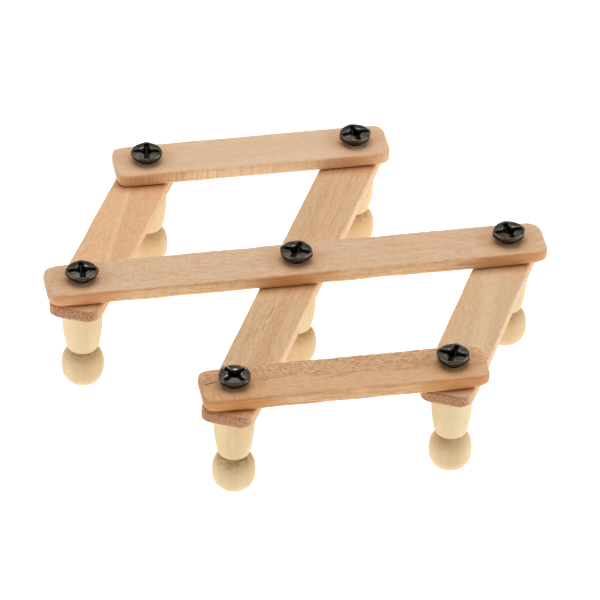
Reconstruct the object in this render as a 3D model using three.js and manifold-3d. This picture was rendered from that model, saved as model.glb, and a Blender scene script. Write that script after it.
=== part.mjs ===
// A folding wooden scissor linkage, the kind called lazy tongs: two layers of flat bars that cross
// at seven pivots. Each pivot is a countersunk screw that goes through both bars and bites into a
// turned wooden peg, and the seven pegs are the feet that the linkage stands on.
//
// Millimetres, +Z up. The origin is on the floor under the centre pivot. The upper bars run along
// +X, and the lower bars run along a line turned from +X by the crossing angle.

import * as THREE from 'three';
import { mergeVertices } from 'three/addons/utils/BufferGeometryUtils.js';
import Module from 'manifold-3d';

const wasm = await Module();
wasm.setup();

// ---- Driving dimensions -------------------------------------------------------------------

const HOLE_PITCH = 45; // from one hole of a bar to the next
const CROSSING_ANGLE = THREE.MathUtils.degToRad(64); // from the upper bars to the lower bars

const BAR_WIDTH = 11.4;
const BAR_THICKNESS = 3;
const BAR_CORNER_RADIUS = 2.2; // of the outline, seen from above
const BAR_EDGE_ROUNDING = 0.3; // of the long edges
const BAR_HOLE_RADIUS = 2;
const OVERHANG = 7; // from a bar's last hole centre to its end
const LONG_OVERHANG = 7.7; // the same on the long upper bar, which is cut a little longer

const FOOT_HEIGHT = 20;
const FOOT_TOP_RADIUS = 4.28;
const FOOT_FLAT_RADIUS = 1.2; // the small flat that the ball stands on
const BALL_RADIUS = 4.48;
const BALL_CENTRE_HEIGHT = 4.5;
const BALL_SQUARENESS = 2.5; // 2 would make the ball's outline an ellipse
const NECK_RADIUS = 2.2; // the waist between the ball and the peg's body
const PILOT_RADIUS = 1.95; // of the hole that takes the screw
const PILOT_DEPTH = 8.8;
const PILOT_TIP_LENGTH = 0.8; // the drill's cone at the bottom of that hole

const SCREW_LENGTH = 16;
const SCREW_SHANK_RADIUS = 1.75;
const SCREW_TIP_LENGTH = 3;
const HEAD_RADIUS = 3.6;
const HEAD_LAND = 0.65; // the straight rim above the head's cone
const HEAD_RIM_ROUNDING = 0.15;
const HEAD_SEAT_RADIUS = 1.82; // of the head's cone where it enters the hole
const RECESS_SPAN = 4.9; // across the driver's cross, at the top
const RECESS_FLOOR_SPAN = 1.6;
const RECESS_WING = 1.05; // thickness of a wing of the cross
const RECESS_DEPTH = 1.9;

const PLAY = 0.15; // between a foot and a bar, and between the two layers of bars

const ROUND_SIDES = 20; // of pegs, screws and holes
const CORNER_STEPS = 4;
const EDGE_STEPS = 2;

// ---- Heights ------------------------------------------------------------------------------

const LOWER_BAR_BOTTOM = FOOT_HEIGHT + PLAY;
const UPPER_BAR_BOTTOM = LOWER_BAR_BOTTOM + BAR_THICKNESS + PLAY;
const UPPER_BAR_TOP = UPPER_BAR_BOTTOM + BAR_THICKNESS;
const HEAD_TOP = UPPER_BAR_TOP + (HEAD_RADIUS - HEAD_SEAT_RADIUS) + HEAD_LAND;

// ---- Layout -------------------------------------------------------------------------------
// A place in the linkage is [steps along the upper bars, steps along the lower bars]. crossTurn is
// how far round each screw's driver cross came to stand when it was driven home, in degrees.

const PIVOTS = {
  centre: { at: [0, 0], crossTurn: -27 },
  left: { at: [-1, 0], crossTurn: -2 },
  right: { at: [1, 0], crossTurn: 7 },
  rear_left: { at: [-1, 1], crossTurn: -8 },
  rear_right: { at: [0, 1], crossTurn: 8 },
  front_left: { at: [0, -1], crossTurn: 35 },
  front_right: { at: [1, -1], crossTurn: -27 },
};

const BARS = {
  upper_bar_rear: { layer: 'upper', middle: [-0.5, 1], steps: 1, overhang: OVERHANG },
  upper_bar_long: { layer: 'upper', middle: [0, 0], steps: 2, overhang: LONG_OVERHANG },
  upper_bar_front: { layer: 'upper', middle: [0.5, -1], steps: 1, overhang: OVERHANG },
  lower_bar_left: { layer: 'lower', middle: [-1, 0.5], steps: 1, overhang: OVERHANG },
  lower_bar_long: { layer: 'lower', middle: [0, 0], steps: 2, overhang: OVERHANG },
  lower_bar_right: { layer: 'lower', middle: [1, -0.5], steps: 1, overhang: OVERHANG },
};

function place([along, across], height) {
  const x = HOLE_PITCH * (along + across * Math.cos(CROSSING_ANGLE));
  const y = HOLE_PITCH * across * Math.sin(CROSSING_ANGLE);
  return new THREE.Vector3(x, y, height);
}

// ---- Materials ----------------------------------------------------------------------------

const upperBarWood = new THREE.MeshStandardMaterial({ color: 0xd9b794, roughness: 0.7, metalness: 0 });
const lowerBarWood = new THREE.MeshStandardMaterial({ color: 0xd2ab85, roughness: 0.7, metalness: 0 });
const footWood = new THREE.MeshStandardMaterial({ color: 0xe9cfa3, roughness: 0.65, metalness: 0 });
const blackSteel = new THREE.MeshStandardMaterial({ color: 0x2b2b2d, roughness: 0.45, metalness: 0.4 });

const LAYERS = {
  upper: { bottom: UPPER_BAR_BOTTOM, turn: 0, wood: upperBarWood },
  lower: { bottom: LOWER_BAR_BOTTOM, turn: CROSSING_ANGLE, wood: lowerBarWood },
};

// ---- Joining and cutting ------------------------------------------------------------------

function toSolid(geometry) {
  const bare = geometry.clone();
  bare.deleteAttribute('normal');
  bare.deleteAttribute('uv');
  const merged = mergeVertices(bare);
  const mesh = new wasm.Mesh({
    numProp: 3,
    vertProperties: merged.attributes.position.array,
    triVerts: Uint32Array.from(merged.index.array),
  });
  return new wasm.Manifold(mesh);
}

function toGeometry(solid) {
  const { vertProperties, triVerts } = solid.getMesh();
  const geometry = new THREE.BufferGeometry();
  geometry.setAttribute('position', new THREE.BufferAttribute(vertProperties, 3));
  geometry.setIndex(new THREE.BufferAttribute(triVerts, 1));
  geometry.computeVertexNormals();
  return geometry;
}

// ---- Shared shapes ------------------------------------------------------------------------

// Turns an outline of [radius, height] points, bottom to top, about the Z axis.
function turned(outline) {
  const points = outline.map(([radius, height]) => new THREE.Vector2(radius, height));
  return new THREE.LatheGeometry(points, ROUND_SIDES).rotateX(Math.PI / 2);
}

function roundedRectangle(length, width, radius) {
  const x = length / 2 - radius;
  const y = width / 2 - radius;
  const quarter = Math.PI / 2;
  const shape = new THREE.Shape();
  shape.absarc(x, y, radius, 0, quarter);
  shape.absarc(-x, y, radius, quarter, 2 * quarter);
  shape.absarc(-x, -y, radius, 2 * quarter, 3 * quarter);
  shape.absarc(x, -y, radius, 3 * quarter, 4 * quarter);
  return shape;
}

function crossOutline(span, wing) {
  const far = span / 2;
  const near = wing / 2;
  const corner = [[far, -near], [far, near], [near, near]];
  const points = [];
  for (let side = 0; side < 4; side += 1) {
    for (const [x, y] of corner) {
      points.push(new THREE.Vector2(x, y).rotateAround(new THREE.Vector2(), side * Math.PI / 2));
    }
  }
  return new THREE.Shape(points);
}

// ---- Bars ---------------------------------------------------------------------------------

function barBlank(steps, overhang) {
  const length = steps * HOLE_PITCH + 2 * overhang;
  const blank = new THREE.ExtrudeGeometry(roundedRectangle(length, BAR_WIDTH, BAR_CORNER_RADIUS), {
    depth: BAR_THICKNESS - 2 * BAR_EDGE_ROUNDING,
    curveSegments: CORNER_STEPS,
    bevelThickness: BAR_EDGE_ROUNDING,
    bevelSize: BAR_EDGE_ROUNDING,
    bevelOffset: -BAR_EDGE_ROUNDING,
    bevelSegments: EDGE_STEPS,
  });
  return blank.translate(0, 0, BAR_EDGE_ROUNDING);
}

function barHole(x) {
  const overcut = 1;
  const bit = new THREE.CylinderGeometry(
    BAR_HOLE_RADIUS, BAR_HOLE_RADIUS, BAR_THICKNESS + 2 * overcut, ROUND_SIDES,
  );
  return bit.rotateX(Math.PI / 2).translate(x, 0, BAR_THICKNESS / 2);
}

function barGeometry(steps, overhang) {
  let bar = toSolid(barBlank(steps, overhang));
  for (let hole = 0; hole <= steps; hole += 1) {
    bar = bar.subtract(toSolid(barHole((hole - steps / 2) * HOLE_PITCH)));
  }
  return toGeometry(bar);
}

// ---- Feet ---------------------------------------------------------------------------------

// The ball is a turned bead, a little squarer than a sphere: its outline is a superellipse that
// runs from the flat that it stands on up to the neck.
function ballOutline() {
  const steps = 11;
  const turnAt = (radius) => Math.acos((radius / BALL_RADIUS) ** (BALL_SQUARENESS / 2));
  const swell = (share) => Math.sign(share) * Math.abs(share) ** (2 / BALL_SQUARENESS);
  const from = -turnAt(FOOT_FLAT_RADIUS);
  const to = turnAt(NECK_RADIUS);
  const halfHeight = -BALL_CENTRE_HEIGHT / swell(Math.sin(from));
  return Array.from({ length: steps + 1 }, (_, step) => {
    const turn = from + ((to - from) * step) / steps;
    const radius = BALL_RADIUS * swell(Math.cos(turn));
    return [radius, BALL_CENTRE_HEIGHT + halfHeight * swell(Math.sin(turn))];
  });
}

// Above the neck the peg swells from a rounded rim to nearly its full width, and then runs straight.
function pegOutline() {
  return [
    [2.9, 8.85],
    [3.25, 9.15],
    [3.45, 9.7],
    [3.66, 10.6],
    [3.9, 12],
    [4.12, 14],
    [FOOT_TOP_RADIUS, 16.5],
    [FOOT_TOP_RADIUS, FOOT_HEIGHT],
  ];
}

function pilotOutline() {
  const bottom = FOOT_HEIGHT - PILOT_DEPTH;
  return [
    [PILOT_RADIUS, FOOT_HEIGHT],
    [PILOT_RADIUS, bottom + PILOT_TIP_LENGTH],
    [0, bottom],
  ];
}

function footGeometry() {
  return turned([[0, 0], ...ballOutline(), ...pegOutline(), ...pilotOutline()]);
}

// ---- Screws -------------------------------------------------------------------------------

function screwBlank() {
  const tip = HEAD_TOP - SCREW_LENGTH;
  const coneTop = HEAD_TOP - HEAD_LAND;
  const coneHeight = HEAD_RADIUS - SCREW_SHANK_RADIUS;
  return turned([
    [0, tip],
    [SCREW_SHANK_RADIUS, tip + SCREW_TIP_LENGTH],
    [SCREW_SHANK_RADIUS, coneTop - coneHeight],
    [HEAD_RADIUS, coneTop],
    [HEAD_RADIUS, HEAD_TOP - HEAD_RIM_ROUNDING],
    [HEAD_RADIUS - HEAD_RIM_ROUNDING, HEAD_TOP],
    [0, HEAD_TOP],
  ]);
}

// The recess is a cross whose wings narrow towards its floor.
function recessSolid() {
  const overcut = 0.5;
  const slope = (RECESS_SPAN - RECESS_FLOOR_SPAN) / 2 / RECESS_DEPTH;
  const cross = new THREE.ExtrudeGeometry(crossOutline(2 * RECESS_SPAN, RECESS_WING), {
    depth: RECESS_DEPTH + overcut,
    bevelEnabled: false,
  });
  const floor = HEAD_TOP - RECESS_DEPTH;
  const cone = turned([
    [0, floor],
    [RECESS_FLOOR_SPAN / 2, floor],
    [RECESS_SPAN / 2 + slope * overcut, HEAD_TOP + overcut],
    [0, HEAD_TOP + overcut],
  ]);
  return toSolid(cross.translate(0, 0, floor)).intersect(toSolid(cone));
}

function screwGeometry() {
  return toGeometry(toSolid(screwBlank()).subtract(recessSolid()));
}

// ---- The linkage --------------------------------------------------------------------------

function named(name, geometry, material) {
  const mesh = new THREE.Mesh(geometry, material);
  mesh.name = name;
  return mesh;
}

const group = new THREE.Group();

for (const [name, { layer, middle, steps, overhang }] of Object.entries(BARS)) {
  const { bottom, turn, wood } = LAYERS[layer];
  const bar = named(name, barGeometry(steps, overhang), wood);
  bar.position.copy(place(middle, bottom));
  bar.rotation.z = turn;
  group.add(bar);
}

for (const [name, { at, crossTurn }] of Object.entries(PIVOTS)) {
  const pivot = new THREE.Group();
  const screw = named(`screw_${name}`, screwGeometry(), blackSteel);
  screw.rotation.z = THREE.MathUtils.degToRad(crossTurn);
  pivot.add(screw);
  pivot.add(named(`foot_${name}`, footGeometry(), footWood));
  pivot.position.copy(place(at, 0));
  group.add(pivot);
}

export default group;
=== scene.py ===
"""A folding wooden scissor linkage on turned pegs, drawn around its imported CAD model."""

import math

import bpy
import numpy as np
from mathutils import Matrix, Vector, noise


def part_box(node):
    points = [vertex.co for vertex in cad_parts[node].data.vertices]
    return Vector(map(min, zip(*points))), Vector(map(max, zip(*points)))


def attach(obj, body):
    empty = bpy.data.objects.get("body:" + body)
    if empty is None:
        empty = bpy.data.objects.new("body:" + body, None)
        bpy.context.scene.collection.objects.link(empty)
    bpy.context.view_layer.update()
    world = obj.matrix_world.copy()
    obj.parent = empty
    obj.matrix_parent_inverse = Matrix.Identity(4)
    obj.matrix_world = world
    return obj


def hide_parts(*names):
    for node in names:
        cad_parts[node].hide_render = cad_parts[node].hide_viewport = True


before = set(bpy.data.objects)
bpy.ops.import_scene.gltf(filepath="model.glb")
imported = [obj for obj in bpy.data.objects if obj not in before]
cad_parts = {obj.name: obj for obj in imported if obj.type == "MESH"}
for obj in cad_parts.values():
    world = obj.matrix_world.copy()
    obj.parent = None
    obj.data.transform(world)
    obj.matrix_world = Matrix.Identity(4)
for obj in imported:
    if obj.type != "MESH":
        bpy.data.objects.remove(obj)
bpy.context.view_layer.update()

MM = 0.001
PIVOTS = ("centre", "left", "right", "rear_left", "rear_right", "front_left", "front_right")


def centre_of(node):
    low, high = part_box(node)
    return (low + high) / 2


def size_of(node):
    """A node's size in millimetres."""
    low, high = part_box(node)
    return (high - low) / MM


PIVOT_AT = {name: centre_of(f"foot_{name}") for name in PIVOTS}
FLOOR_AT = {name: place * Vector((1, 1, 0)) for name, place in PIVOT_AT.items()}


# ---- Sizes in millimetres -----------------------------------------------------------------

HOLE_PITCH = (PIVOT_AT["right"] - PIVOT_AT["centre"]).length / MM
BAR_WIDTH = size_of("upper_bar_long").y
BAR_THICKNESS = size_of("upper_bar_long").z
BAR_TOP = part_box("upper_bar_long")[1].z / MM
SHORT_OVERHANG = (size_of("upper_bar_rear").x - HOLE_PITCH) / 2
LONG_OVERHANG = (size_of("upper_bar_long").x - 2 * HOLE_PITCH) / 2
BAR_CORNER_RADIUS = 3.0
BAR_EDGE_ROUNDING = 0.55
BAR_MOST_ROUNDING = 1.35
SOFT_END_LENGTH = 8.0
BAR_HOLE_RADIUS = 2.0
CRACK_DEPTH = 0.5
CRACK_OVERSHOOT = 0.3

FOOT_HEIGHT = size_of("foot_centre").z
BALL_RADIUS = size_of("foot_centre").x / 2
BALL_CENTRE_HEIGHT = 4.5
BALL_SQUARENESS = 2.5
FOOT_FLAT_RADIUS = 1.2
FOOT_TOP_RADIUS = 4.28
NECK_RADIUS = 2.2
GROOVE_HEIGHT = 8.72
# How far down the ball the painted shade under the peg reaches.
GROOVE_SHADE_REACH = 2.5
PILOT_RADIUS = 1.95
PILOT_DEPTH = 8.8
PILOT_TIP_LENGTH = 0.8

HEAD_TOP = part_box("screw_centre")[1].z / MM
HEAD_FACE = HEAD_TOP - 0.05
RIM_MIDDLE = HEAD_TOP - 0.68
RIM_FOOT = HEAD_TOP - 0.9
BOWL_FOOT = BAR_TOP - 0.1
HEAD_RADIUS = size_of("screw_centre").x / 2
SCREW_LENGTH = size_of("screw_centre").z
SCREW_TIP = HEAD_TOP - SCREW_LENGTH
THREAD_CREST = 1.75
THREAD_ROOT = 1.2
THREAD_PITCH = 1.35
THREAD_FADE = 1.0
POINT_LENGTH = 3.0


# ---- Camera -------------------------------------------------------------------------------

CAMERA_AZIMUTH = math.radians(-10.45)
CAMERA_ELEVATION = math.radians(36.15)
CAMERA_ROLL = math.radians(0.92)
CAMERA_DISTANCE = 1202.7 * MM
CAMERA_TARGET = Vector((-2.27, -17.26, 28.28)) * MM
CAMERA_SENSOR = 36.0
CAMERA_LENS = 351.6


def add_camera():
    level = math.cos(CAMERA_ELEVATION)
    back = Vector((
        math.sin(CAMERA_AZIMUTH) * level, -math.cos(CAMERA_AZIMUTH) * level,
        math.sin(CAMERA_ELEVATION),
    ))
    data = bpy.data.cameras.new("camera")
    data.lens = CAMERA_LENS
    data.sensor_width = CAMERA_SENSOR
    data.clip_start = 0.01
    data.clip_end = 20.0
    camera = bpy.data.objects.new("camera", data)
    camera.rotation_mode = "QUATERNION"
    look = (-back).to_track_quat("-Z", "Y")
    camera.rotation_quaternion = Matrix.Rotation(CAMERA_ROLL, 3, back).to_quaternion() @ look
    camera.location = CAMERA_TARGET + back * CAMERA_DISTANCE
    bpy.context.scene.collection.objects.link(camera)
    bpy.context.scene.camera = camera


# ---- Material building --------------------------------------------------------------------

NOISE_STEP = (7.3, 3.1, 5.7)


def srgb(red, green, blue):
    """A colour as a screen shows it, 0 to 255, in the shader's linear values."""
    def linear(value):
        v = value / 255
        return v / 12.92 if v <= 0.04045 else ((v + 0.055) / 1.055) ** 2.4
    return (linear(red), linear(green), linear(blue), 1.0)


class Shader:
    """A material's node tree, with short ways to add nodes. Places and normals are given in a
    piece's own frame: its middle, and the direction that its grain runs in."""

    def __init__(self, name, middle=(0, 0, 0), turn=0.0):
        self.material = bpy.data.materials.new(name)
        self.material.use_nodes = True
        self.tree = self.material.node_tree
        self.tree.nodes.clear()
        coordinates = self.node("TexCoord")
        self.here = self.mapping(coordinates.outputs["Object"], "TEXTURE", middle, turn)
        self.normal = self.mapping(coordinates.outputs["Normal"], "TEXTURE", (0, 0, 0), turn)

    def node(self, kind):
        return self.tree.nodes.new(f"ShaderNode{kind}")

    def plug(self, socket, value):
        if isinstance(value, bpy.types.NodeSocket):
            self.tree.links.new(value, socket)
        else:
            socket.default_value = value

    def mapping(self, vector, kind, location=(0, 0, 0), turn=0.0, scale=(1, 1, 1)):
        node = self.node("Mapping")
        node.vector_type = kind
        self.plug(node.inputs["Vector"], vector)
        node.inputs["Location"].default_value = location
        node.inputs["Rotation"].default_value = (0, 0, turn)
        node.inputs["Scale"].default_value = scale
        return node.outputs["Vector"]

    def noise(self, per_mm, shift=0.0, slant=0.0, detail=2.0, roughness=0.5):
        """Noise with per_mm features to the millimetre along each axis, turned by the slant. Each
        whole shift gives another pattern."""
        turned = self.mapping(self.here, "POINT", turn=-slant)
        location = [shift * step for step in NOISE_STEP]
        placed = self.mapping(turned, "POINT", location, scale=[count / MM for count in per_mm])
        node = self.node("TexNoise")
        self.plug(node.inputs["Vector"], placed)
        node.inputs["Scale"].default_value = 1.0
        node.inputs["Detail"].default_value = detail
        node.inputs["Roughness"].default_value = roughness
        return node.outputs["Fac"]

    def ramp(self, value, low, high, to_low=0.0, to_high=1.0):
        """A smooth step: to_low where the value is low, and to_high where it is high."""
        node = self.node("MapRange")
        node.interpolation_type = "SMOOTHSTEP"
        self.plug(node.inputs["Value"], value)
        limits = {"From Min": low, "From Max": high, "To Min": to_low, "To Max": to_high}
        for name, number in limits.items():
            node.inputs[name].default_value = number
        return node.outputs["Result"]

    def math(self, operation, a, b=0.0):
        node = self.node("Math")
        node.operation = operation
        self.plug(node.inputs[0], a)
        self.plug(node.inputs[1], b)
        return node.outputs[0]

    def times(self, a, b):
        return self.math("MULTIPLY", a, b)

    def plus(self, a, b):
        return self.math("ADD", a, b)

    def length(self, a, b):
        """How long an arrow of a by b is."""
        return self.math("SQRT", self.plus(self.times(a, a), self.times(b, b)))

    def mix(self, share, a, b):
        node = self.node("Mix")
        node.data_type = "RGBA"
        self.plug(node.inputs["Factor"], share)
        self.plug(node.inputs[6], a)
        self.plug(node.inputs[7], b)
        return node.outputs[2]

    def part(self, vector, axis):
        split = self.node("SeparateXYZ")
        self.plug(split.inputs[0], vector)
        return split.outputs[axis]

    def facing(self, axis):
        """How far the surface faces along an axis, either way, from 0 to 1."""
        return self.math("ABSOLUTE", self.part(self.normal, axis))

    def along(self, axis):
        """The distance from the piece's middle along an axis, in millimetres."""
        return self.times(self.part(self.here, axis), 1 / MM)

    def painted(self, name):
        """A value that the mesh carries at each of its points."""
        node = self.node("Attribute")
        node.attribute_name = name
        return node.outputs["Fac"]

    def bump(self, height, depth_mm):
        node = self.node("Bump")
        self.plug(node.inputs["Height"], height)
        node.inputs["Distance"].default_value = depth_mm * MM
        return node.outputs["Normal"]

    def finish(self, colour, roughness, normal, **uniform):
        shader = self.node("BsdfPrincipled")
        self.plug(shader.inputs["Base Color"], colour)
        self.plug(shader.inputs["Roughness"], roughness)
        self.plug(shader.inputs["Normal"], normal)
        for name, value in uniform.items():
            shader.inputs[name.replace("_", " ")].default_value = value
        output = self.node("OutputMaterial")
        self.plug(output.inputs["Surface"], shader.outputs["BSDF"])
        return self.material


# ---- Wood of the bars ---------------------------------------------------------------------

# What sets one bar's wood apart from the next. pale and deep are the two tones of its wide faces,
# edge is the tint towards its back side, and side is the colour of its narrow sides, partly their
# own tone and partly painted light and shade, lighter or darker than the wide faces. The numbers
# say how strongly each mark shows:
# stripe, soft bands of colour, slanted from the bar; seam, a pale line on the same slant, with
# deeper wood in front of it; fibre, fine lines; fleck, short dark dashes; mottle, small clouds;
# chatter, dark lines across the left end; torn, rough fibres along the back half; tick, dark bars
# across the narrow sides; streak, lines along them; end, the speckled brown of the cut ends; and
# last, the painted shade round the holes, where the bars cross: how darkly orange it is painted on
# the wide faces and on the narrow sides.
NO_MARKS = {"seam": 0.0, "chatter": 0.0, "torn": 0.0}
LOWER_BAR_MARKS = {
    **NO_MARKS, "mottle": 0.6, "tick": 0.1, "streak": 0.2, "end": 1.0, "joint": (0.35, 0.1),
}
BAR_WOOD = {
    "upper_bar_rear": {
        **NO_MARKS, "pale": srgb(225, 191, 156), "deep": srgb(216, 180, 144),
        "edge": srgb(222, 188, 152), "side": srgb(250, 213, 171), "stripe": 0.5, "slant": 0.03,
        "fibre": 0.3, "fleck": 0.25, "mottle": 0.35, "tick": 0.55, "streak": 0.1, "end": 0.35,
        "joint": (0.0, 0.45),
    },
    "upper_bar_long": {
        **NO_MARKS, "pale": srgb(223, 188, 152), "deep": srgb(214, 176, 139),
        "edge": srgb(220, 184, 150), "side": srgb(240, 195, 147), "stripe": 0.6, "slant": 0.05,
        "fibre": 0.3, "fleck": 0.45, "mottle": 0.8, "chatter": 0.2, "tick": 0.15, "streak": 0.5,
        "end": 0.2, "joint": (0.0, 0.6),
    },
    "upper_bar_front": {
        **NO_MARKS, "pale": srgb(218, 174, 129), "deep": srgb(204, 157, 111),
        "edge": srgb(209, 166, 124), "side": srgb(234, 188, 138), "stripe": 0.6, "slant": 0.0,
        "fibre": 0.6, "fleck": 0.8, "mottle": 0.7, "chatter": 0.75, "torn": 1.0, "tick": 0.15,
        "streak": 0.8, "end": 0.6, "joint": (0.0, 0.8),
    },
    "lower_bar_left": {
        **LOWER_BAR_MARKS, "pale": srgb(230, 186, 142), "deep": srgb(218, 169, 121),
        "edge": srgb(229, 184, 141), "side": srgb(223, 178, 135), "stripe": 0.4, "slant": 0.135,
        "seam": 0.6, "fibre": 0.15, "fleck": 0.2,
    },
    "lower_bar_long": {
        **LOWER_BAR_MARKS, "pale": srgb(219, 181, 140), "deep": srgb(205, 161, 117),
        "edge": srgb(213, 179, 138), "side": srgb(229, 192, 151), "stripe": 0.8, "slant": 0.04,
        "fibre": 1.0, "fleck": 0.9,
    },
    "lower_bar_right": {
        **LOWER_BAR_MARKS, "pale": srgb(222, 189, 153), "deep": srgb(211, 174, 134),
        "edge": srgb(214, 174, 128), "side": srgb(223, 191, 152), "stripe": 0.8, "slant": 0.16,
        "fibre": 0.25, "fleck": 0.3,
    },
}
SEAM_PALE = srgb(234, 193, 151)
FIBRE_BROWN = srgb(176, 124, 80)
FLECK_BROWN = srgb(150, 100, 66)
TICK_ORANGE = srgb(196, 130, 76)
SIDE_STREAK = srgb(186, 128, 78)
# The painted shade where the bars cross over each other and round the screw heads.
PAINTED_SHADE_ORANGE = srgb(206, 135, 66)
TORN_PALE = srgb(228, 184, 140)
TORN_BROWN = srgb(168, 115, 73)
END_GRAIN_BROWN = srgb(168, 107, 66)
END_GRAIN_PALE = srgb(212, 167, 120)
END_PORE_BROWN = srgb(92, 52, 32)

# Where marks come and go, in millimetres from the bar's middle or, for the painted shade near the
# holes, from a hole's.
SEAM_LINE_AT = -0.3
SEAM_EDGE = (-0.7, -1.1)
CHATTER_EDGE = (-10.0, -21.0)
TICKS_FADE = (-20.0, 24.0)
TORN_EDGE = (-0.8, 1.4)
TORN_WANDER = 9.0
CROSSING_SHADE_ALONG = (11.0, 4.0)
SCREW_SHADE_AROUND = (7.5, 4.0)
GRAIN_DEPTH = 0.07


def bar_wood(name, seed, middle, turn, steps):
    """The wood of one bar, whose end holes are that many steps of the pitch apart."""
    look = BAR_WOOD[name]
    s = Shader(f"wood_{name}", middle, turn)
    fibres = s.noise((0.13, 3.4, 2.6), seed, detail=3.0, roughness=0.65)
    flecks = s.noise((0.75, 5.5, 4.5), seed, detail=1.0)
    mottle = s.noise((0.55, 2.3, 2.0), seed, detail=4.0, roughness=0.75)
    speckle = s.noise((2.2, 2.8, 4.2), seed, detail=4.0, roughness=0.75)

    colour = flat_colour(s, look, seed, fibres, flecks, mottle)
    colour, torn_height = torn_back(s, colour, look["torn"], seed)
    # The narrow sides get a tone of their own, lighter or darker than the wide faces: partly the
    # wood's own tone, partly painted light and shade.
    sides = s.ramp(s.facing("Y"), 0.25, 0.9)
    colour = s.mix(sides, colour, side_colour_and_light(s, look, seed, mottle))
    # Painted shade: near each hole, where another bar crosses over this one, the wood is darkened to
    # orange.
    nearest_hole = s.math("PINGPONG", s.plus(s.along("X"), steps * HOLE_PITCH / 2), HOLE_PITCH / 2)
    crossing_shade = s.times(s.ramp(nearest_hole, *CROSSING_SHADE_ALONG), s.ramp(sides, 0.0, 1.0, *look["joint"]))
    colour = s.mix(crossing_shade, colour, PAINTED_SHADE_ORANGE)
    # Painted shade: a darker orange ring round each hole, where the screw head sits over it.
    from_hole = s.length(nearest_hole, s.along("Y"))
    colour = s.mix(s.ramp(from_hole, *SCREW_SHADE_AROUND, 0.0, 0.28), colour, PAINTED_SHADE_ORANGE)
    cut_end = s.ramp(s.facing("X"), 0.45, 0.8, 0.0, look["end"])
    colour = s.mix(cut_end, colour, end_colour(s, speckle))

    height = s.plus(s.times(fibres, look["fibre"]), s.times(mottle, 0.4))
    height = s.plus(s.plus(height, torn_height), s.times(s.times(cut_end, speckle), 1.2))
    return s.finish(colour, s.ramp(mottle, 0.3, 0.7, 0.5, 0.72), s.bump(height, GRAIN_DEPTH))


def flat_colour(s, look, seed, fibres, flecks, mottle):
    """The wide faces: bands, a seam and clouds of colour, with fibres and flecks on the grain."""
    bands = s.noise((0.012, 0.34, 0.3), seed, look["slant"], detail=2.0, roughness=0.55)
    drift = s.noise((0.03, 0.08, 0.1), seed + 4, detail=1.0)
    colour = s.mix(s.ramp(bands, 0.4, 0.6, 0.0, look["stripe"]), look["pale"], look["deep"])
    back = s.ramp(s.along("Y"), 0.0, BAR_WIDTH * 0.45, 0.0, 0.8)
    colour = s.mix(back, colour, look["edge"])
    colour = s.mix(s.ramp(drift, 0.35, 0.65, 0.0, 0.3), colour, look["deep"])
    from_seam = s.plus(s.along("Y"), s.times(s.along("X"), -look["slant"]))
    colour = s.mix(s.ramp(from_seam, *SEAM_EDGE, 0.0, look["seam"]), colour, look["deep"])
    from_line = s.math("ABSOLUTE", s.plus(from_seam, -SEAM_LINE_AT))
    colour = s.mix(s.ramp(from_line, 0.8, 0.2, 0.0, look["seam"]), colour, SEAM_PALE)
    colour = s.mix(s.ramp(mottle, 0.42, 0.7, 0.0, look["mottle"] * 0.5), colour, FIBRE_BROWN)
    colour = s.mix(s.ramp(mottle, 0.5, 0.3, 0.0, look["mottle"] * 0.35), colour, look["pale"])
    colour = s.mix(s.ramp(fibres, 0.5, 0.75, 0.0, look["fibre"] * 0.6), colour, FIBRE_BROWN)
    chatter = s.noise((1.5, 0.4, 0.3), seed + 6, detail=3.0, roughness=0.65)
    at_left = s.ramp(s.along("X"), *CHATTER_EDGE, 0.0, look["chatter"])
    colour = s.mix(s.times(at_left, s.ramp(chatter, 0.52, 0.64, 0.0, 0.6)), colour, FLECK_BROWN)
    return s.mix(s.ramp(flecks, 0.6, 0.74, 0.0, look["fleck"] * 0.55), colour, FLECK_BROWN)


def side_colour_and_light(s, look, seed, mottle):
    """The narrow sides, their tone set lighter or darker than the wide faces as painted light and
    shade, with dark bars across them or streaks along them.
    """
    ticks = s.noise((1.4, 0.2, 0.1), seed, detail=2.0, roughness=0.5)
    streaks = s.noise((0.1, 1.0, 2.6), seed + 2, detail=3.0, roughness=0.6)
    fade = s.ramp(s.along("X"), *TICKS_FADE, 1.0, 0.25)
    tick_share = s.times(s.ramp(ticks, 0.42, 0.72, 0.0, look["tick"]), fade)
    colour = s.mix(tick_share, look["side"], TICK_ORANGE)
    colour = s.mix(s.ramp(streaks, 0.45, 0.62, 0.0, look["streak"] * 0.75), colour, SIDE_STREAK)
    return s.mix(s.ramp(mottle, 0.45, 0.7, 0.0, look["mottle"] * 0.6), colour, SIDE_STREAK)


def end_colour(s, speckle):
    """The cut ends: speckled brown with dark pores."""
    colour = s.mix(s.ramp(speckle, 0.42, 0.64), END_GRAIN_BROWN, END_GRAIN_PALE)
    return s.mix(s.ramp(speckle, 0.47, 0.34, 0.0, 0.8), colour, END_PORE_BROWN)


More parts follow.
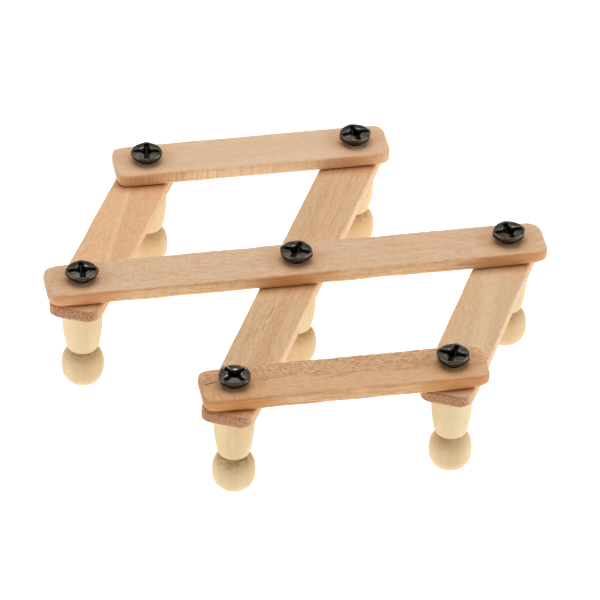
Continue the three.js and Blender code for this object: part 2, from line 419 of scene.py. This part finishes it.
def torn_back(s, colour, share, seed):
    """Torn, darker fibres along the half of a bar that lies towards its back side, and a painted
    shadow, a dark line, along the edge where they start."""
    torn = s.noise((1.3, 3.4, 3.0), seed, detail=4.0, roughness=0.75)
    reach = s.noise((0.09, 0.3, 0.3), seed + 1, detail=3.0)
    reach = s.plus(s.along("Y"), s.times(s.plus(reach, -0.5), TORN_WANDER))
    where = s.ramp(reach, *TORN_EDGE, 0.0, share)
    fibres = s.mix(s.ramp(torn, 0.44, 0.6), TORN_PALE, TORN_BROWN)
    colour = s.mix(s.times(where, 0.7), colour, fibres)
    # A painted shadow along the edge where the torn fibres start.
    step = s.ramp(s.math("ABSOLUTE", reach), 0.6, 0.0, 0.0, share)
    colour = s.mix(s.times(step, s.ramp(torn, 0.4, 0.6, 0.1, 0.7)), colour, TORN_BROWN)
    return colour, s.times(s.times(torn, where), 1.8)


# ---- Other materials ----------------------------------------------------------------------

TURNED_CREAM = srgb(231, 208, 163)
TURNED_HONEY = srgb(226, 197, 149)
TURNED_STREAK = srgb(202, 164, 112)
TURNED_TAWNY = srgb(218, 172, 116)
TURNED_SHADE = srgb(168, 134, 92)
TURNING_DEPTH = 0.03
STEEL_GREY = srgb(76, 76, 68)
STEEL_WARM = srgb(94, 86, 74)
# The rim lip's brown: partly wear, partly a painted reflection of the wood.
STEEL_WEAR_AND_REFLECTION = srgb(112, 96, 80)
# Bare steel, for the scrapes and the painted glints.
STEEL_BRIGHT = srgb(214, 208, 196)
# The painted shade in the screw's recess and under its head.
SHADE_BLACK = srgb(29, 24, 19)
STEEL_GRAIN_DEPTH = 0.015


def turned_wood():
    """Pale wood with faint rings and streaks, tawny on some balls, with painted shade in the groove
    under the peg.
    """
    s = Shader("turned_wood")
    streaks = s.noise((0.9, 0.9, 0.05), 1, detail=2.0, roughness=0.6)
    rings = s.noise((0.02, 0.02, 4.5), 2, detail=2.0, roughness=0.7)
    clouds = s.noise((0.16, 0.16, 0.08), 3, detail=2.0)
    shade_breakup = s.noise((1.1, 1.1, 1.6), 4, detail=3.0, roughness=0.65)
    colour = s.mix(s.ramp(clouds, 0.38, 0.64), TURNED_CREAM, TURNED_HONEY)
    colour = s.mix(s.ramp(streaks, 0.44, 0.76, 0.0, 0.16), colour, TURNED_STREAK)
    colour = s.mix(s.ramp(rings, 0.52, 0.7, 0.0, 0.16), colour, TURNED_STREAK)
    colour = s.mix(s.painted("tawny"), colour, TURNED_TAWNY)
    # Painted shade on the ball's top under the peg, broken up by noise.
    groove_darkening = s.times(s.painted("groove_painted_shade"), s.ramp(shade_breakup, 0.36, 0.6, 0.3, 1.3))
    colour = s.mix(groove_darkening, colour, TURNED_SHADE)
    height = s.plus(rings, s.times(streaks, 0.4))
    normal = s.bump(height, TURNING_DEPTH)
    return s.finish(colour, s.ramp(streaks, 0.3, 0.7, 0.5, 0.65), normal)


def blackened_steel():
    """Dark, oily steel; a brown lip at the rim, partly wear and partly a painted reflection of the
    wood; bright spots, partly scrapes from the driver and partly painted glints; and painted shade,
    matt black, down in the recess and under the head."""
    s = Shader("blackened_steel")
    grain = s.noise((2.2, 2.2, 2.2), detail=3.0, roughness=0.6)
    smear = s.noise((0.55, 0.55, 0.55), 1, detail=2.0)
    chips = s.noise((1.6, 1.6, 1.6), 5, detail=2.0)
    colour = s.mix(s.ramp(smear, 0.4, 0.65), STEEL_GREY, STEEL_WARM)
    # A brown lip at the rim: partly wear, partly a painted reflection of the wood.
    lip_wear_and_reflection = s.times(s.painted("wear"), s.ramp(grain, 0.3, 0.6, 0.35, 1.0))
    colour = s.mix(lip_wear_and_reflection, colour, STEEL_WEAR_AND_REFLECTION)
    # Bright spots: partly scrapes from the driver, partly painted glints.
    scrapes_and_glints = s.times(s.painted("scrapes_and_glints"), s.ramp(chips, 0.43, 0.53))
    colour = s.mix(scrapes_and_glints, colour, STEEL_BRIGHT)
    # Painted shade, matt black, in the recess and under the head.
    colour = s.mix(s.painted("recess_and_underside_shade"), colour, SHADE_BLACK)
    roughness = s.plus(s.ramp(grain, 0.3, 0.7, 0.24, 0.4), s.times(s.painted("recess_and_underside_shade"), 0.25))
    return s.finish(colour, roughness, s.bump(grain, STEEL_GRAIN_DEPTH), Metallic=0.85)


# ---- Mesh building ------------------------------------------------------------------------

SHARP_ANGLE = math.radians(38)


def new_object(name, vertices_mm, faces, material):
    """A smooth object from points in millimetres, sharp only where its faces meet steeply."""
    mesh = bpy.data.meshes.new(name)
    mesh.from_pydata([tuple(v * MM for v in vertex) for vertex in vertices_mm], [], faces)
    if material:
        mesh.materials.append(material)
    mesh.polygons.foreach_set("use_smooth", [True] * len(mesh.polygons))
    mesh.set_sharp_from_angle(angle=SHARP_ANGLE)
    thing = bpy.data.objects.new(name, mesh)
    bpy.context.scene.collection.objects.link(thing)
    return thing


def paint(thing, name, values):
    """Gives each point of a mesh a value that its material can read."""
    thing.data.attributes.new(name, "FLOAT", "POINT").data.foreach_set("value", values)


def settle(piece, location, turn, node, body):
    """Puts a piece in its place, says which body it belongs to, and hides the CAD node it stands for.
    """
    piece.data.transform(Matrix.Translation(location) @ Matrix.Rotation(turn, 4, "Z"))
    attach(piece, body)
    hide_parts(node)


def circle(count):
    """Evenly spaced angles, once round."""
    return [2 * math.pi * i / count for i in range(count)]


def rings_to_skin(rings, bottom, top):
    """Vertices and faces of a closed skin: rings of points, bottom to top, and a point at each end."""
    count = len(rings[0])
    vertices = [bottom] + [point for ring in rings for point in ring] + [top]
    last = 1 + (len(rings) - 1) * count
    faces = []
    for i in range(count):
        j = (i + 1) % count
        faces.append((0, 1 + j, 1 + i))
        for low in range(1, last, count):
            faces.append((low + i, low + j, low + count + j, low + count + i))
        faces.append((last + i, last + j, len(vertices) - 1))
    return vertices, faces


def cut(thing, cutters):
    """Cuts the cutters out of thing, and removes them."""
    for cutter in cutters:
        modifier = thing.modifiers.new("cut", "BOOLEAN")
        modifier.operation = "DIFFERENCE"
        modifier.solver = "EXACT"
        modifier.object = cutter
    evaluated = thing.evaluated_get(bpy.context.evaluated_depsgraph_get())
    mesh = bpy.data.meshes.new_from_object(evaluated)
    thing.modifiers.clear()
    thing.data = mesh
    mesh.set_sharp_from_angle(angle=SHARP_ANGLE)
    for cutter in cutters:
        bpy.data.objects.remove(cutter)


# ---- Bars ---------------------------------------------------------------------------------

# ends: the pivots at the bar's two ends. corners: how far each corner is rounded, 1 being a full
# arc, in the order left front, right front, left back, right back. ragged: how deep the top edges
# are nicked, in millimetres. soft_ends: how much rounder the edges are at the left end and at the
# right end. cracks: the start, end and width of each, in the bar's own frame, where it has any.
BARS = {
    "upper_bar_rear": {
        "ends": ("rear_left", "rear_right"), "overhang": SHORT_OVERHANG, "seed": 1,
        "corners": (0.76, 0.8, 0.68, 0.8), "ragged": 0.10, "soft_ends": (0.4, 0.5),
    },
    "upper_bar_long": {
        "ends": ("left", "right"), "overhang": LONG_OVERHANG, "seed": 2,
        "corners": (0.84, 0.76, 0.72, 1.04), "ragged": 0.22, "soft_ends": (1.3, 0.9),
    },
    "upper_bar_front": {
        "ends": ("front_left", "front_right"), "overhang": SHORT_OVERHANG, "seed": 3,
        "corners": (0.72, 0.8, 0.68, 0.96), "ragged": 0.22, "soft_ends": (0.9, 1.2),
        "cracks": (((-29.2, 0.1), (-25.6, 0.95), 0.42),),
    },
    "lower_bar_left": {
        "ends": ("left", "rear_left"), "overhang": SHORT_OVERHANG, "seed": 4,
        "corners": (1.1, 0.84, 0.88, 0.8), "ragged": 0.06, "soft_ends": (0.3, 0.3),
    },
    "lower_bar_long": {
        "ends": ("front_left", "rear_right"), "overhang": SHORT_OVERHANG, "seed": 5,
        "corners": (1.1, 0.8, 0.8, 0.8), "ragged": 0.08, "soft_ends": (0.3, 0.3),
        "cracks": (
            ((-18.4, 0.95), (-12.6, 0.75), 0.26), ((-22.9, 0.9), (-19.6, 0.85), 0.22),
            ((-29.4, 0.6), (-28.4, 0.7), 0.2),
        ),
    },
    "lower_bar_right": {
        "ends": ("front_right", "right"), "overhang": SHORT_OVERHANG, "seed": 6,
        "corners": (1.1, 0.72, 0.92, 0.8), "ragged": 0.06, "soft_ends": (0.3, 0.3),
    },
}
SIDE_WANDER = 0.10
SIDE_WANDER_LENGTH = 11.0
FACE_WANDER = 0.02
NICK_WIDTH = 1.0
NICK_HEIGHT = 0.8
CORNER_CELLS = 8
ALONG_CELL = 0.55
ACROSS_CELLS = 18
EDGE_CELLS = 4
SIDE_CELLS = 3
HOLE_SIDES = 48


def spaced(half, cells):
    """Lattice lines across a bar from -half to half, closer together in the corners."""
    straight = half - BAR_CORNER_RADIUS
    ends = np.linspace(straight, half, CORNER_CELLS + 1)
    inner = np.linspace(-straight, straight, cells + 1)
    return np.concatenate([-ends[::-1], inner[1:-1], ends])


def edge_levels():
    """The lattice's levels, bottom to top. Each is a side, how far up the straight part of the side
    it stands, and how far round the rounded edge it has turned."""
    upper = [(1, i / SIDE_CELLS, 0.0) for i in range(1, SIDE_CELLS)]
    upper += [(1, 1.0, math.pi / 2 * i / EDGE_CELLS) for i in range(EDGE_CELLS + 1)]
    return [(-side, up, turn) for side, up, turn in reversed(upper)] + [(1, 0.0, 0.0)] + upper


def slab_lattice(nx, ny, nz):
    """Lattice points (i, j, k) on the skin of a slab of nx by ny by nz lines, and its faces."""
    index = {}

    def at(*key):
        return index.setdefault(key, len(index))

    faces = []
    for i in range(nx - 1):
        for j in range(ny - 1):
            k = nz - 1
            faces.append((at(i, j, k), at(i + 1, j, k), at(i + 1, j + 1, k), at(i, j + 1, k)))
            faces.append((at(i, j, 0), at(i, j + 1, 0), at(i + 1, j + 1, 0), at(i + 1, j, 0)))
    for k in range(nz - 1):
        for i in range(nx - 1):
            j = ny - 1
            faces.append((at(i, 0, k), at(i + 1, 0, k), at(i + 1, 0, k + 1), at(i, 0, k + 1)))
            faces.append((at(i, j, k), at(i, j, k + 1), at(i + 1, j, k + 1), at(i + 1, j, k)))
        for j in range(ny - 1):
            i = nx - 1
            faces.append((at(0, j, k), at(0, j, k + 1), at(0, j + 1, k + 1), at(0, j + 1, k)))
            faces.append((at(i, j, k), at(i, j + 1, k), at(i, j + 1, k + 1), at(i, j, k + 1)))
    return list(index), faces


def rounded_in_plan(x, y, half_length, half_width, radius, corners):
    """Pulls a lattice point in to the outline with rounded corners."""
    u = (abs(x) - (half_length - radius)) / radius
    v = (abs(y) - (half_width - radius)) / radius
    if u <= 0 or v <= 0:
        return x, y
    share = corners[(1 if x > 0 else 0) + (2 if y > 0 else 0)]
    arc_u = u * math.sqrt(1 - v * v / 2)
    arc_v = v * math.sqrt(1 - u * u / 2)
    u += (arc_u - u) * share
    v += (arc_v - v) * share
    return (
        math.copysign(half_length - radius + radius * u, x),
        math.copysign(half_width - radius + radius * v, y),
    )


def wear(x, y, z, seed, ragged):
    """Small handmade unevenness: a wandering outline, nicks in the top edges and soft wide faces."""
    half_width, half_height = BAR_WIDTH / 2, BAR_THICKNESS / 2
    side = math.copysign(1, y)
    wander = noise.noise(Vector((x / SIDE_WANDER_LENGTH, seed * 5 + 3 * side, 0)))
    y -= side * SIDE_WANDER * (0.5 + wander) * min(1.0, abs(y) / half_width)
    near_side = max(0.0, 1 - (half_width - abs(y)) / NICK_WIDTH)
    near_top = max(0.0, 1 - (half_height - z) / NICK_HEIGHT)
    bite = noise.noise(Vector((x * 1.1, seed * 9 + 4 * side, 0)))
    bite += 0.7 * noise.noise(Vector((x * 3.3, seed * 9 + 4 * side, 7)))
    nick = ragged * near_side * near_top * max(0.0, bite + 0.2)
    y -= side * nick
    z -= 0.9 * nick
    z -= math.copysign(FACE_WANDER * (1 + noise.noise(Vector((x / 5, y / 2.5, seed)))), z)
    return x, y, z


def edge_rounding_at(x, half_length, soft_ends, seed):
    """The rounding of a bar's edges wanders along it, and grows towards its sanded ends."""
    wander = 1 + 0.45 * noise.noise(Vector((x / 7, seed * 3, 2)))
    near_end = max(0.0, 1 - (half_length - abs(x)) / SOFT_END_LENGTH) ** 1.5
    rounding = BAR_EDGE_ROUNDING * (wander + soft_ends[1 if x > 0 else 0] * near_end)
    return min(rounding, BAR_MOST_ROUNDING)


def bar_vertices(half_length, bar):
    """A bar's skin in its own frame, before its holes are cut."""
    half_width, half_height = BAR_WIDTH / 2, BAR_THICKNESS / 2
    xs = spaced(half_length, round(2 * half_length / ALONG_CELL))
    ys = spaced(half_width, ACROSS_CELLS)
    levels = edge_levels()
    lattice, faces = slab_lattice(len(xs), len(ys), len(levels))
    vertices = []
    for i, j, k in lattice:
        side, up, turn = levels[k]
        rounding = edge_rounding_at(xs[i], half_length, bar["soft_ends"], bar["seed"])
        inset = rounding * (1 - math.cos(turn))
        z = side * ((half_height - rounding) * up + rounding * math.sin(turn))
        x = xs[i] * (half_length - inset) / half_length
        y = ys[j] * (half_width - inset) / half_width
        x, y = rounded_in_plan(
            x, y, half_length - inset, half_width - inset, BAR_CORNER_RADIUS - inset,
            bar["corners"],
        )
        vertices.append(wear(x, y, z, bar["seed"], bar["ragged"]))
    return vertices, faces


def bar_piece(name):
    bar = BARS[name]
    start, end = (PIVOT_AT[pivot] for pivot in bar["ends"])
    reach = end - start
    turn = math.atan2(reach.y, reach.x)
    middle = (start + end) / 2
    middle.z = centre_of(name).z
    steps = round(reach.length / MM / HOLE_PITCH)
    half_length = steps * HOLE_PITCH / 2 + bar["overhang"]
    vertices, faces = bar_vertices(half_length, bar)
    wood = bar_wood(name, bar["seed"], middle, turn, steps)
    piece = new_object(f"wood_{name}", vertices, faces, wood)
    holes = [hole_cutter((i - steps / 2) * HOLE_PITCH) for i in range(steps + 1)]
    cracks = [crack_cutter(*crack) for crack in bar.get("cracks", ())]
    cut(piece, holes + cracks)
    settle(piece, middle, turn, name, name)


def hole_cutter(x):
    """A plain cylinder through the bar, that far along it."""
    height = BAR_THICKNESS
    r = BAR_HOLE_RADIUS
    rings = [
        [(x + r * math.cos(a), r * math.sin(a), z) for a in circle(HOLE_SIDES)]
        for z in (-height, height)
    ]
    vertices, faces = rings_to_skin(rings, (x, 0, -height), (x, 0, height))
    return new_object("hole", vertices, faces, None)


def crack_cutter(start, end, width):
    """A thin wedge, sharp at its foot and at both ends, that opens a crack in the top face."""
    a, b = Vector(start), Vector(end)
    side = Vector((a.y - b.y, b.x - a.x)).normalized() * width / 2
    middle = (a + b) / 2
    top = BAR_THICKNESS / 2
    over, foot = top + CRACK_OVERSHOOT, top - CRACK_DEPTH
    vertices = [(p.x, p.y, over) for p in (a, middle - side, b, middle + side)]
    vertices += [(a.x, a.y, foot), (b.x, b.y, foot)]
    faces = [(0, 1, 2, 3), (0, 4, 1), (1, 4, 5), (1, 5, 2), (2, 5, 3), (3, 5, 4), (3, 4, 0)]
    return new_object("crack", vertices, faces, None)


# ---- Feet ---------------------------------------------------------------------------------

# How far the wood of each foot's ball leans from cream towards a tawny orange, and how dark the
# painted shade is in the groove over it, under the peg.
FOOT_WOOD = {
    "centre": (0.4, 0.6), "left": (0.15, 0.5), "right": (0.5, 0.6), "rear_left": (0.2, 0.45),
    "rear_right": (0.5, 0.6), "front_left": (0.1, 0.9), "front_right": (0.0, 0.25),
}
TAWNY_ABOVE_BALL = 0.35
TURNING_MARKS = 0.014
TURNING_WANDER = 0.03
FOOT_SIDES = 96


def smooth_through(points, steps):
    """A Catmull-Rom curve through (radius, height) points."""
    padded = [points[0], *points, points[-1]]
    curve = []
    for before, start, end, after in zip(padded, padded[1:], padded[2:], padded[3:]):
        for t in (i / steps for i in range(steps)):
            curve.append(tuple(
                q + 0.5 * t * (r - p + t * (2 * p - 5 * q + 4 * r - s + t * (3 * (q - r) + s - p)))
                for p, q, r, s in zip(before, start, end, after)
            ))
    return curve + [points[-1]]


def ball_outline(steps):
    """A superellipse, from the flat that the ball stands on up to the neck."""
    def turn_at(radius):
        return math.acos((radius / BALL_RADIUS) ** (BALL_SQUARENESS / 2))

    def swell(share):
        return math.copysign(abs(share) ** (2 / BALL_SQUARENESS), share)

    first, last = -turn_at(FOOT_FLAT_RADIUS), turn_at(NECK_RADIUS)
    half_height = -BALL_CENTRE_HEIGHT / swell(math.sin(first))
    turns = [first + (last - first) * i / steps for i in range(steps + 1)]
    return [
        (BALL_RADIUS * swell(math.cos(t)), BALL_CENTRE_HEIGHT + half_height * swell(math.sin(t)))
        for t in turns
    ]


def foot_outline():
    """A foot's (radius, height) points from the floor up and back down its bore, and how high the
    bore's bottom is."""
    peg = [
        (2.35, 8.74), (2.85, 8.8), (3.2, 9.1), (3.45, 9.7), (3.66, 10.6), (3.9, 12.0),
        (4.12, 14.0), (FOOT_TOP_RADIUS - 0.03, 16.5), (FOOT_TOP_RADIUS, FOOT_HEIGHT - 0.3),
    ]
    rim = [(FOOT_TOP_RADIUS - 0.08, FOOT_HEIGHT - 0.08), (FOOT_TOP_RADIUS - 0.3, FOOT_HEIGHT)]
    bottom = FOOT_HEIGHT - PILOT_DEPTH
    bore = [(PILOT_RADIUS, FOOT_HEIGHT), (PILOT_RADIUS, bottom + PILOT_TIP_LENGTH)]
    return ball_outline(40) + smooth_through(peg, 8) + rim + bore, bottom


def groove_shade(z):
    """How much of the groove's painted shade reaches a height: 1 at its bottom, 0 well down the ball.
    """
    below = (GROOVE_HEIGHT - z) / GROOVE_SHADE_REACH
    return (1 - below) ** 1.5 if 0 < below < 1 else 0.0


def foot_piece(name, seed, material):
    outline, bore_bottom = foot_outline()
    rings = []
    for radius, z in outline:
        turned = TURNING_MARKS * noise.noise(Vector((0, seed * 3, z * 2.6)))
        turned += TURNING_WANDER * noise.noise(Vector((seed * 5, 0, z / 3)))
        free = PILOT_RADIUS < radius < BALL_RADIUS - 0.05
        r = radius + (turned if free else 0.0)
        rings.append([(r * math.cos(a), r * math.sin(a), z) for a in circle(FOOT_SIDES)])
    vertices, faces = rings_to_skin(rings, (0, 0, 0), (0, 0, bore_bottom))
    node = f"foot_{name}"
    piece = new_object(f"turned_{node}", vertices, faces, material)
    tawny, groove_darkening = FOOT_WOOD[name]
    shares = [1.0 if z < GROOVE_HEIGHT else TAWNY_ABOVE_BALL for _, _, z in vertices]
    paint(piece, "tawny", [tawny * share for share in shares])
    paint(piece, "groove_painted_shade", [groove_darkening * groove_shade(z) for _, _, z in vertices])
    settle(piece, FLOOR_AT[name], 0.0, node, f"peg_{name}")


# ---- Screws -------------------------------------------------------------------------------

# How far round each driver cross stands, in degrees, how far the driver has pushed the rim out at
# the end of each of its wings, how bright the recess's edges are made, partly scrapes from the
# driver and partly painted glints, and how high the head's top is domed, in millimetres.
SCREWS = {
    "centre": (-27, (0.9, 1.0, 1.0, 0.4), 0.3, 0.16),
    "left": (-2, (1.0, 0.9, 1.0, 0.4), 0.7, 0.27),
    "right": (7, (0.9, 0.6, 0.9, 0.3), 0.8, 0.08),
    "rear_left": (-8, (0.3, 1.0, 0.4, 0.4), 0.4, 0.28),
    "rear_right": (8, (1.0, 0.6, 0.4, 0.3), 0.4, 0.28),
    "front_left": (35, (0.9, 1.0, 1.0, 0.9), 4.0, 0.2),
    "front_right": (-27, (0.5, 0.9, 1.0, 0.4), 0.5, 0.06),
}
SCREW_SIDES = 144
HEAD_RINGS = 60
THREAD_ROWS = 8
BOWL_ROWS = 8
RIM_RADIUS = 0.922 * HEAD_RADIUS
PUSHED_OUT = 0.076 * HEAD_RADIUS
WING_TIP = 2.5
WING_REACH = 0.35
WING_HALF = 0.62
CORE_HALF = 1.32
WING_TAPER = 0.06
PUSHED_ANGLE = math.radians(12)
RECESS_DEPTH = 1.95
RECESS_WALL_SLOPE = 4.5
RECESS_LIP = 0.08
RECESS_START = 0.015
RECESS_FLOOR_SLOPE = 0.6
RECESS_FLOOR_FLAT = 0.6
ROLLED_FROM = 0.92
ROLLED_DOWN = 0.2
BURR_HEIGHT = 0.06
DENT_DEPTH = 0.04
SMALL_DENT_DEPTH = 0.012


def inside_cross(x, y, amounts):
    """How far inside the edge of the driver's cross a point is, along the cross's own wings."""
    taper = WING_TAPER * math.hypot(x, y)
    tip_x = WING_TIP + WING_REACH * amounts[0 if x > 0 else 2]
    tip_y = WING_TIP + WING_REACH * amounts[1 if y > 0 else 3]
    wing_x = min(WING_HALF - taper - abs(y), tip_x - abs(x))
    wing_y = min(WING_HALF - taper - abs(x), tip_y - abs(y))
    core = CORE_HALF - (abs(x) + abs(y)) / math.sqrt(2)
    return max(wing_x, wing_y, core)


def recess_depth(inside, from_middle):
    """How deep the recess is: steep walls from a soft lip, and a floor that rises outwards."""
    wall = RECESS_WALL_SLOPE * (inside + math.hypot(inside, RECESS_LIP)) / 2
    floor = RECESS_DEPTH - RECESS_FLOOR_SLOPE * max(0.0, from_middle - RECESS_FLOOR_FLAT)
    return max(0.0, min(wall - RECESS_START, floor))


def bell(value, middle, width):
    """1 where the value is the middle, and less and less away from it."""
    return math.exp(-(((value - middle) / width) ** 2))


def pushed(angle, amounts):
    """How much the rim stands out towards the wings of the cross, from 0 to 1."""
    total = 0.0
    for wing, amount in enumerate(amounts):
        away = (angle - wing * math.pi / 2 + math.pi) % (2 * math.pi) - math.pi
        total += amount * bell(away, 0.0, PUSHED_ANGLE)
    return min(total, 1.0)


def head_point(share, angle, amounts, dome, seed):
    """A point of the head's top, and its paints there: the lip's brown of wear and painted reflection,
    the bright of scrapes and painted glints, and the painted shade of the recess. share runs from 0
    in the middle to 1 at the rim."""
    out = pushed(angle, amounts)
    radius = (RIM_RADIUS + PUSHED_OUT * out) * share
    x, y = radius * math.cos(angle), radius * math.sin(angle)
    inside = inside_cross(x, y, amounts)
    depth = recess_depth(inside, radius)
    rolled = ROLLED_DOWN * max(0.0, (share - ROLLED_FROM) / (1 - ROLLED_FROM)) ** 2
    dent = DENT_DEPTH * noise.noise(Vector((x * 0.8, y * 0.8, seed * 3)))
    dent += SMALL_DENT_DEPTH * noise.noise(Vector((x * 2.0, y * 2.0, seed * 3)))
    burr = BURR_HEIGHT * bell(share, 0.93, 0.05) * (0.6 + out)
    z = HEAD_FACE - dome * share ** 2 + burr + dent - rolled - depth
    between_wings = abs(math.sin(2 * angle)) ** 4
    verge = bell(inside, -0.06, 0.13)
    # A brown lip at the rim: partly wear, partly a painted reflection of the wood.
    lip_wear_and_reflection = bell(share, 0.965, 0.03)
    # Bright spots at the recess's edges between the wings: partly scrapes from the driver, partly
    # painted glints.
    scrapes_and_glints = verge * (0.25 + 0.75 * between_wings)
    # Painted shade in the recess, and along its edges away from the glints.
    recess_and_underside_shade = max(min(1.0, depth / 0.15) * (1 - 0.8 * scrapes_and_glints), 0.8 * verge * (1 - between_wings))
    return (x, y, min(z, HEAD_TOP)), lip_wear_and_reflection, scrapes_and_glints, recess_and_underside_shade


def head_rings(amounts, dome, seed):
    """Rings of the head from the rim of its top face in to the middle of the recess, and what is
    painted on their points."""
    rings, paints = [], []
    for level in range(HEAD_RINGS):
        share = 1 - (level / HEAD_RINGS) ** 0.95
        points = [head_point(share, a, amounts, dome, seed) for a in circle(SCREW_SIDES)]
        rings.append([point for point, *_ in points])
        paints += [values for _, *values in points]
    return rings, paints


def rim_ring(amounts, z, share):
    """A ring of the head's side. share runs from 0 at the thread's root to 1 at the full rim."""
    ring = []
    for angle in circle(SCREW_SIDES):
        rim = RIM_RADIUS + PUSHED_OUT * pushed(angle, amounts)
        radius = THREAD_ROOT + (rim - THREAD_ROOT) * share
        ring.append((radius * math.cos(angle), radius * math.sin(angle), z))
    return ring


def thread_ring(z):
    """One ring of the pointed shank, whose thread fades out under the head."""
    taper = min(1.0, (z - SCREW_TIP) / POINT_LENGTH)
    fade = min(1.0, (BOWL_FOOT - z) / THREAD_FADE)
    ring = []
    for angle in circle(SCREW_SIDES):
        phase = (z / THREAD_PITCH - angle / (2 * math.pi)) % 1.0
        crest = max(0.0, 1 - abs(phase - 0.5) / 0.22)
        radius = taper * (THREAD_ROOT + (THREAD_CREST - THREAD_ROOT) * crest * fade)
        ring.append((radius * math.cos(angle), radius * math.sin(angle), z))
    return ring


def shank_rings(amounts):
    """Rings from the screw's tip up its thread, the bowl under its head and its straight rim."""
    length = BOWL_FOOT - SCREW_TIP
    rows = round(length / THREAD_PITCH * THREAD_ROWS)
    rings = [thread_ring(SCREW_TIP + length * row / rows) for row in range(1, rows)]
    for step in range(BOWL_ROWS + 1):
        rise = step / BOWL_ROWS
        share = math.sin(rise * math.pi / 2) ** 0.9
        rings.append(rim_ring(amounts, BOWL_FOOT + (RIM_FOOT - BOWL_FOOT) * rise, share))
    rings.append(rim_ring(amounts, RIM_MIDDLE, 1.0))
    return rings


def screw_piece(name, seed, material):
    turn, amounts, scrape_and_glint_strength, dome = SCREWS[name]
    below = shank_rings(amounts)
    above, paints = head_rings(amounts, dome, seed)
    middle = (0, 0, HEAD_FACE - RECESS_DEPTH)
    vertices, faces = rings_to_skin(below + above, (0, 0, SCREW_TIP), middle)
    node = f"screw_{name}"
    piece = new_object(f"black_{node}", vertices, faces, material)
    # The thread, the bowl under the head and the head's side carry painted shade, and the bottom of
    # the recess full painted shade.
    paints = [(0.0, 0.0, 0.75)] * (1 + len(below) * SCREW_SIDES) + paints + [(0.0, 0.0, 1.0)]
    lip_wear_and_reflection, scrapes_and_glints, recess_and_underside_shade = zip(*paints)
    paint(piece, "wear", lip_wear_and_reflection)
    paint(piece, "scrapes_and_glints", [min(1.0, scrape_and_glint_strength * value) for value in scrapes_and_glints])
    paint(piece, "recess_and_underside_shade", recess_and_underside_shade)
    settle(piece, FLOOR_AT[name], math.radians(turn), node, f"peg_{name}")


# ---- Stage --------------------------------------------------------------------------------

FLOOR_GLOW = 1.5
FLOOR_REACH = 3000.0
WORLD_GLOW = 0.15

# Each softbox's place, width and height in metres, and its power in watts.
SOFTBOXES = {
    "softbox_top": ((0.05, 0.35, 1.0), 1.2, 0.9, 9.7),
    "softbox_left": ((-0.9, -0.05, 0.4), 0.7, 0.7, 2.6),
    "softbox_right": ((0.9, -0.2, 0.35), 0.7, 0.7, 4.0),
}


def add_floor():
    """A light table: a plain white floor that glows evenly, as far as the camera can see."""
    s = Shader("floor")
    glow = s.node("Emission")
    glow.inputs["Color"].default_value = (1.0, 1.0, 1.0, 1.0)
    glow.inputs["Strength"].default_value = FLOOR_GLOW
    output = s.node("OutputMaterial")
    s.plug(output.inputs["Surface"], glow.outputs["Emission"])
    r = FLOOR_REACH
    corners = [(-r, -r, 0), (r, -r, 0), (r, r, 0), (-r, r, 0)]
    floor = new_object("floor", corners, [(0, 1, 2, 3)], s.material)


def add_world():
    """Dim, even light from all round."""
    world = bpy.data.worlds.new("studio")
    world.use_nodes = True
    background = world.node_tree.nodes["Background"]
    background.inputs["Color"].default_value = (1.0, 1.0, 1.0, 1.0)
    background.inputs["Strength"].default_value = WORLD_GLOW
    bpy.context.scene.world = world


def add_softbox(name, location, width, height, watts):
    """A rectangular lamp that faces the middle of the linkage and stays out of the picture."""
    data = bpy.data.lights.new(name, "AREA")
    data.shape = "RECTANGLE"
    data.size = width
    data.size_y = height
    data.energy = watts
    lamp = bpy.data.objects.new(name, data)
    lamp.location = location
    lamp.rotation_euler = (-Vector(location)).to_track_quat("-Z", "Y").to_euler()
    lamp.visible_camera = False
    bpy.context.scene.collection.objects.link(lamp)


# ---- The scene ----------------------------------------------------------------------------

add_camera()
add_floor()
add_world()
for softbox, settings in SOFTBOXES.items():
    add_softbox(softbox, *settings)
bpy.context.scene.view_settings.view_transform = "Standard"

for bar_name in BARS:
    bar_piece(bar_name)
foot_material, screw_material = turned_wood(), blackened_steel()
for seed, pivot_name in enumerate(PIVOTS, start=1):
    foot_piece(pivot_name, seed, foot_material)
    screw_piece(pivot_name, seed, screw_material)
